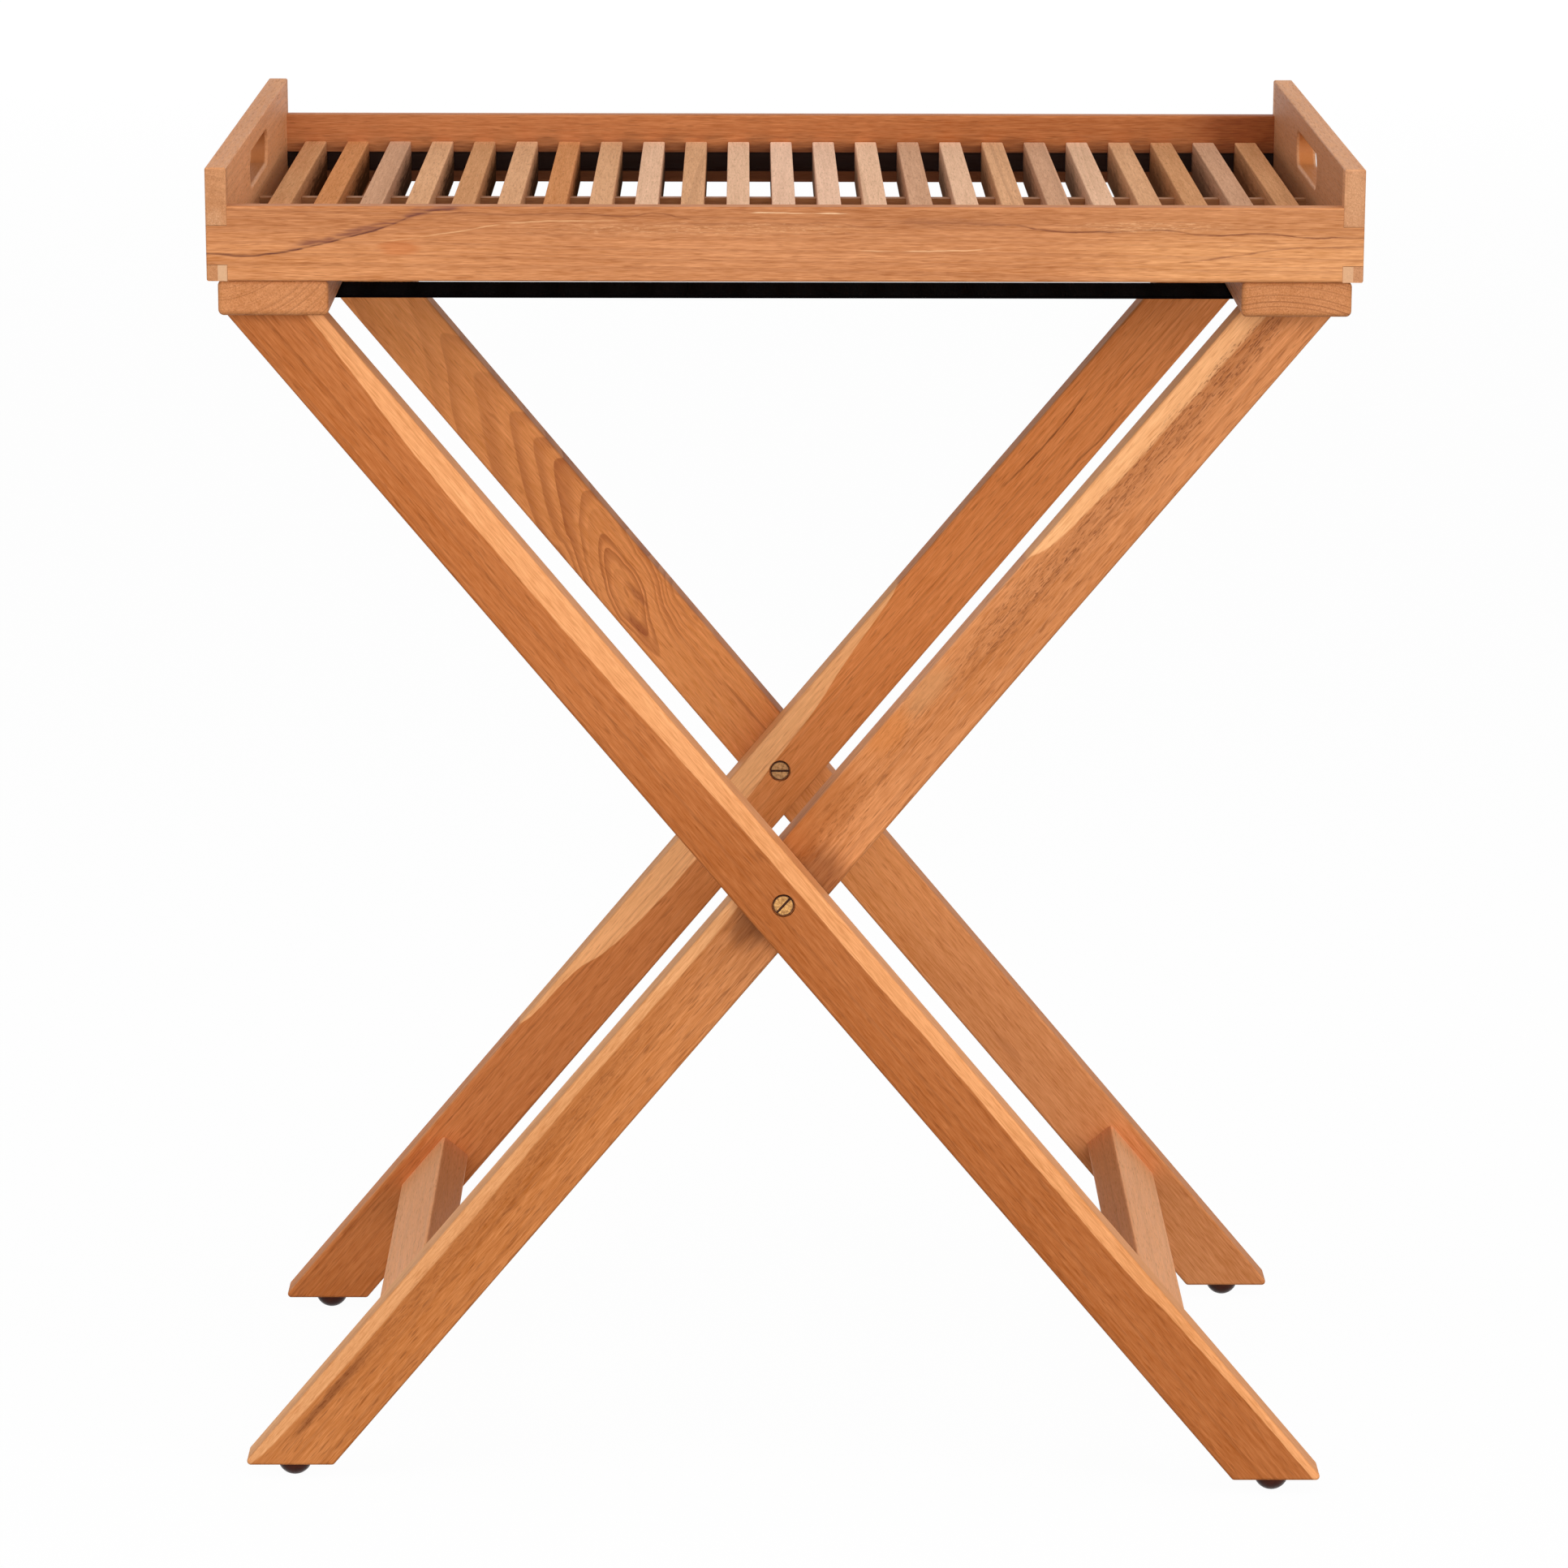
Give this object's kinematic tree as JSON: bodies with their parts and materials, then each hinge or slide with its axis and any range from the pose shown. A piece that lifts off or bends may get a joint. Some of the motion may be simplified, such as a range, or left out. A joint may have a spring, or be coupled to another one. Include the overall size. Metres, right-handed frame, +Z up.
{
  "type": "folding tray table",
  "caption": "Folding wooden tray table: a slatted lift-off tray with hand slots on a stand of crossed leg frames that turn on slotted pivots and are held open by webbing straps.",
  "frame": {"origin": "on the floor under the middle of the table", "axes": "+Z up, +X along the tray to the right as seen from the front, -Y towards the viewer"},
  "size_m": [0.6, 0.4, 0.737],
  "materials": {
    "tray_wood": "oiled teak, straight grain, eased edges",
    "slat_wood": "planed teak, paler and drier than the rails",
    "frame_wood": "oiled teak heartwood with pale sapwood bands",
    "pivot_brass": "antique, brushed, darkened in the slot",
    "washer_brass": "plain",
    "webbing": "tight woven polypropylene webbing",
    "glide": "moulded, satin",
    "screw_steel": "zinc plated"
  },
  "bodies": {
    "outer_frame": {"outer_top_rail": "frame_wood", "outer_leg_front": "frame_wood", "outer_leg_back": "frame_wood", "outer_stretcher": "frame_wood", "outer_foot_front": "glide", "outer_strap_screws_front": "screw_steel", "outer_foot_back": "glide", "outer_strap_screws_back": "screw_steel", "pivot_bolt_front": "pivot_brass", "pivot_nut_front": "pivot_brass", "pivot_washer_front": "washer_brass", "strap_front": "webbing", "pivot_bolt_back": "pivot_brass", "pivot_nut_back": "pivot_brass", "pivot_washer_back": "washer_brass", "strap_back": "webbing"},
    "inner_frame": {"inner_top_rail": "frame_wood", "inner_leg_front": "frame_wood", "inner_leg_back": "frame_wood", "inner_stretcher": "frame_wood", "inner_foot_front": "glide", "inner_strap_screws_front": "screw_steel", "inner_foot_back": "glide", "inner_strap_screws_back": "screw_steel"},
    "tray": {"tray_front_rail": "tray_wood", "tray_back_rail": "tray_wood", "tray_left_panel": "tray_wood", "tray_right_panel": "tray_wood", "slat_01": "slat_wood", "slat_02": "slat_wood", "slat_03": "slat_wood", "slat_04": "slat_wood", "slat_05": "slat_wood", "slat_06": "slat_wood", "slat_07": "slat_wood", "slat_08": "slat_wood", "slat_09": "slat_wood", "slat_10": "slat_wood", "slat_11": "slat_wood", "slat_12": "slat_wood", "slat_13": "slat_wood", "slat_14": "slat_wood", "slat_15": "slat_wood", "slat_16": "slat_wood", "slat_17": "slat_wood", "slat_18": "slat_wood", "slat_19": "slat_wood", "slat_20": "slat_wood", "slat_21": "slat_wood", "slat_22": "slat_wood", "slat_23": "slat_wood", "tray_batten": "slat_wood"}
  },
  "joints": [
    {"name": "tray_lift", "type": "slide", "parent": "outer_frame", "child": "tray", "axis": [0, 0, 1], "range_m": [0, 0.45]},
    {"name": "fold", "type": "hinge", "parent": "outer_frame", "child": "inner_frame", "pos_m": [0, 0, 0.33657], "axis": [0, -1, 0], "range_deg": [0, 68], "deforming": ["strap_front", "strap_back"]}
  ],
  "couplings": [
    {"joint": "fold", "follows": "tray_lift", "rad_per_m": 2.637}
  ]
}
